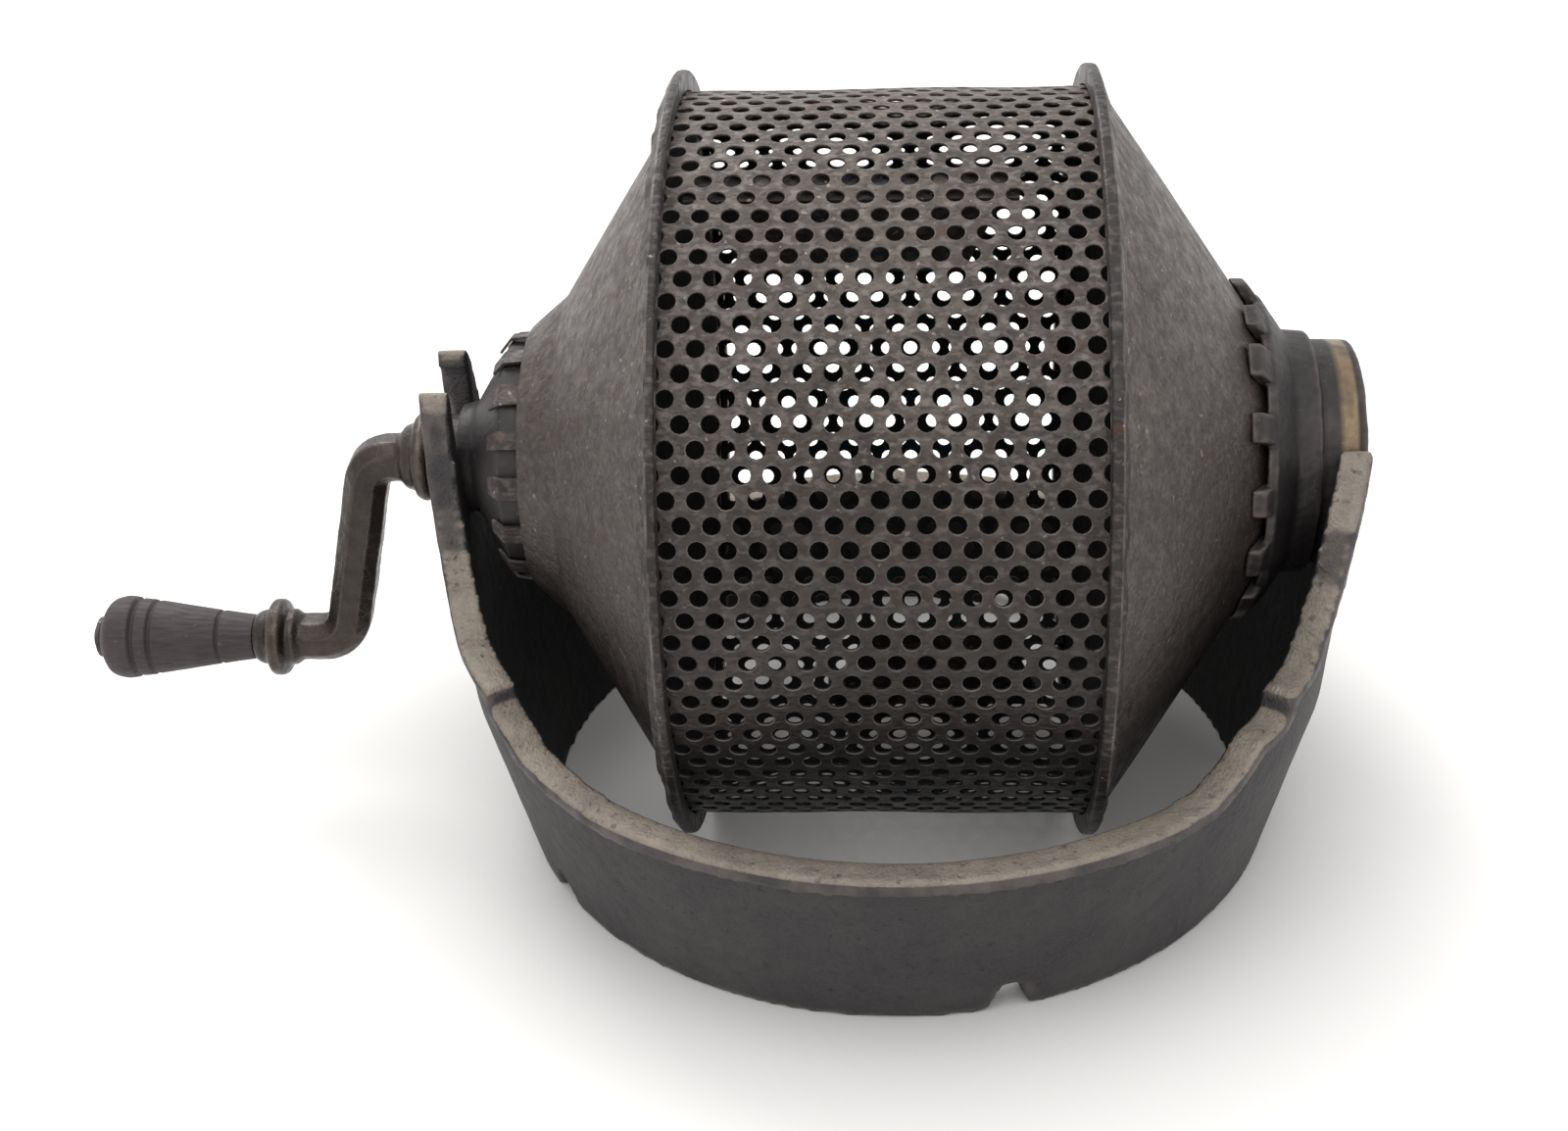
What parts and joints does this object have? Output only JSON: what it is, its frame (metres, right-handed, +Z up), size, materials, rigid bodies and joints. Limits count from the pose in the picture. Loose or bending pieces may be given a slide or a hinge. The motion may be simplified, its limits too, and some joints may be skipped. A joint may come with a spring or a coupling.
{
  "type": "stovetop coffee roaster",
  "caption": "Hand-cranked coffee roaster: a perforated sheet-iron drum with coned ends, turning in a cast-iron ring stand with a fork and a cradle.",
  "frame": {"origin": "on the stove top, below the middle of the whole length from the grip's end to the drum's mouth", "axes": "+X along the drum's axis from the crank to the open mouth, +Z up, -Y is the front as pictured"},
  "size_m": [0.4004, 0.2722, 0.2349],
  "materials": {
    "stand_iron": "sand-cast iron, dark blue-grey skirt, dusty tan-grey top edge",
    "drum_sheet": "sheet iron, brown-grey from heat, sooty black towards the bottom, worn bright hole edges",
    "drum_castings": "cast iron turned smooth, with a worn golden band at the mouth",
    "crank_iron": "cast iron, brown-black, rubbed to a semi-gloss",
    "fastenings": "plain dark steel",
    "grip_wood": "turned wood, blackened and matte"
  },
  "bodies": {
    "stand": {"stand": "stand_iron"},
    "drum": {"drum_shell": "drum_sheet", "crank_end_seam_ring": "drum_sheet", "mouth_end_seam_ring": "drum_sheet", "crank_end_cone": "drum_sheet", "mouth_end_cone": "drum_sheet", "crank_end_hub": "drum_castings", "neck_casting": "drum_castings", "vane_1": "drum_sheet", "vane_1_rivet_1": "fastenings", "vane_1_rivet_2": "fastenings", "vane_2": "drum_sheet", "vane_2_rivet_1": "fastenings", "vane_2_rivet_2": "fastenings", "crank": "crank_iron", "shank_washer": "fastenings", "shank_nut": "fastenings", "grip_spindle": "fastenings", "grip_washer": "fastenings"},
    "grip": {"grip": "grip_wood"}
  },
  "joints": [
    {"name": "drum_turn", "type": "hinge", "parent": "stand", "child": "drum", "pos_m": [0.06255, 0, 0.119], "axis": [1, 0, 0], "continuous": true},
    {"name": "grip_spin", "type": "hinge", "parent": "drum", "child": "grip", "pos_m": [-0.1715, 0, 0.053], "axis": [1, 0, 0], "continuous": true}
  ]
}
